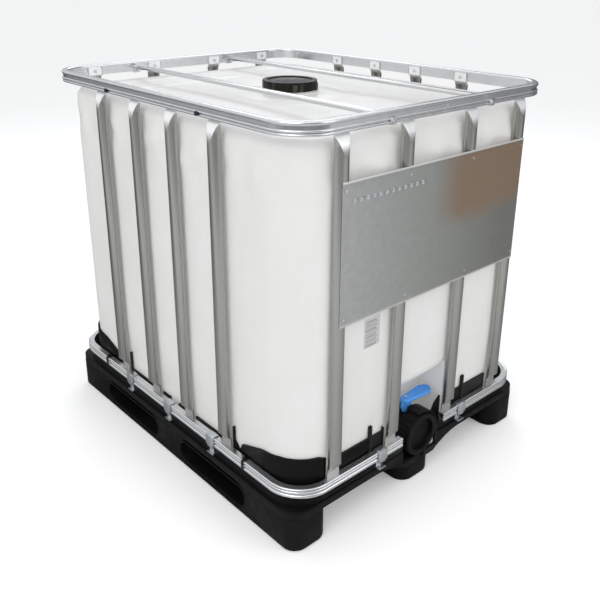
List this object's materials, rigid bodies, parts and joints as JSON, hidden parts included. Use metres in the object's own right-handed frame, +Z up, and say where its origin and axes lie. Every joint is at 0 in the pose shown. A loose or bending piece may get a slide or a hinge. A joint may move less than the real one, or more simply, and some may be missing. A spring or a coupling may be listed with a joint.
{
  "type": "intermediate bulk container",
  "caption": "Blow-moulded liquid container in a galvanised steel post cage on a black plastic pallet, with a lever outlet valve and a screw fill lid.",
  "frame": {"origin": "on the floor plane, under the middle of the container's rectangular plan", "axes": "+Z up, +Y along the long side away from the outlet valve, +X to the right when the valve is seen from the front; the valve faces -Y"},
  "size_m": [1, 1.2, 1.13],
  "materials": {
    "bottle_plastic": "translucent white blow-moulded polyethylene, satin",
    "pallet_plastic": "black moulded polyethylene, satin",
    "ring_steel": "bright galvanised rolled tube",
    "post_steel": "galvanised pressed sheet, satin",
    "plate_steel": "galvanised sheet with a dull spangle",
    "clip_steel": "galvanised pressed sheet",
    "fastener_steel": "zinc plated",
    "dark_steel": "black phosphated",
    "label_paper": "printed label film, matt",
    "valve_plastic": "black moulded polypropylene, satin",
    "disc_plastic": "grey moulded polypropylene",
    "seal_rubber": "black elastomer seal",
    "lever_plastic": "bright blue moulded polypropylene",
    "lid_plastic": "dark brown-black moulded polyethylene"
  },
  "bodies": {
    "root": {"pallet_deck": "pallet_plastic", "runner_left": "pallet_plastic", "runner_centre": "pallet_plastic", "runner_right": "pallet_plastic", "bottle": "bottle_plastic", "fill_neck": "bottle_plastic", "top_ring": "ring_steel", "bottom_ring": "ring_steel", "post_left_1": "post_steel", "post_left_2": "post_steel", "post_left_3": "post_steel", "post_left_4": "post_steel", "post_right_1": "post_steel", "post_right_2": "post_steel", "post_right_3": "post_steel", "post_right_4": "post_steel", "post_front_1": "post_steel", "post_front_2": "post_steel", "post_front_3": "post_steel", "post_front_4": "post_steel", "post_rear_1": "post_steel", "post_rear_2": "post_steel", "post_rear_3": "post_steel", "post_rear_4": "post_steel", "cross_bar_left": "ring_steel", "cross_bar_right": "ring_steel", "bar_clamps": "ring_steel", "bar_bolts": "fastener_steel", "bar_nuts": "fastener_steel", "post_rivets_top": "fastener_steel", "post_rivets_bottom": "fastener_steel", "top_ring_rivets": "fastener_steel", "side_bolts": "dark_steel", "marking_plate": "plate_steel", "plate_rivets": "fastener_steel", "barcode_label": "label_paper", "clip_left_1": "clip_steel", "clip_left_2": "clip_steel", "clip_left_3": "clip_steel", "clip_right_1": "clip_steel", "clip_right_2": "clip_steel", "clip_right_3": "clip_steel", "clip_front_1": "clip_steel", "clip_front_2": "clip_steel", "clip_rear_1": "clip_steel", "clip_rear_2": "clip_steel", "clip_screws": "fastener_steel", "valve_union_nut": "valve_plastic", "valve_body": "valve_plastic", "valve_seat": "seal_rubber"},
    "valve_rotor": {"valve_lever": "lever_plastic", "valve_stem": "fastener_steel", "valve_disc": "disc_plastic", "lever_screw": "fastener_steel"},
    "outlet_cap_travel": {"outlet_gasket": "seal_rubber"},
    "outlet_cap_turning": {"outlet_cap": "valve_plastic"},
    "fill_cap_travel": {"fill_gasket": "seal_rubber"},
    "fill_cap_turning": {"fill_cap": "lid_plastic"}
  },
  "joints": [
    {"name": "valve_turn", "type": "hinge", "parent": "root", "child": "valve_rotor", "pos_m": [0, -0.522, 0.15], "axis": [0, 0, -1], "range_deg": [0, 90]},
    {"name": "outlet_cap_slide", "type": "slide", "parent": "root", "child": "outlet_cap_travel", "axis": [0, -1, 0], "range_m": [0, 0.0321]},
    {"name": "outlet_cap_turn", "type": "hinge", "parent": "outlet_cap_travel", "child": "outlet_cap_turning", "pos_m": [0, -0.565, 0.15], "axis": [0, -1, 0], "range_deg": [0, 1440]},
    {"name": "fill_cap_lift", "type": "slide", "parent": "root", "child": "fill_cap_travel", "axis": [0, 0, 1], "range_m": [0, 0.0241]},
    {"name": "fill_cap_turn", "type": "hinge", "parent": "fill_cap_travel", "child": "fill_cap_turning", "pos_m": [0, 0, 1.1], "axis": [0, 0, 1], "range_deg": [0, 720]}
  ],
  "couplings": [
    {"joint": "outlet_cap_slide", "follows": "outlet_cap_turn", "m_per_rad": 0.0012732},
    {"joint": "fill_cap_lift", "follows": "fill_cap_turn", "m_per_rad": 0.0019099}
  ]
}
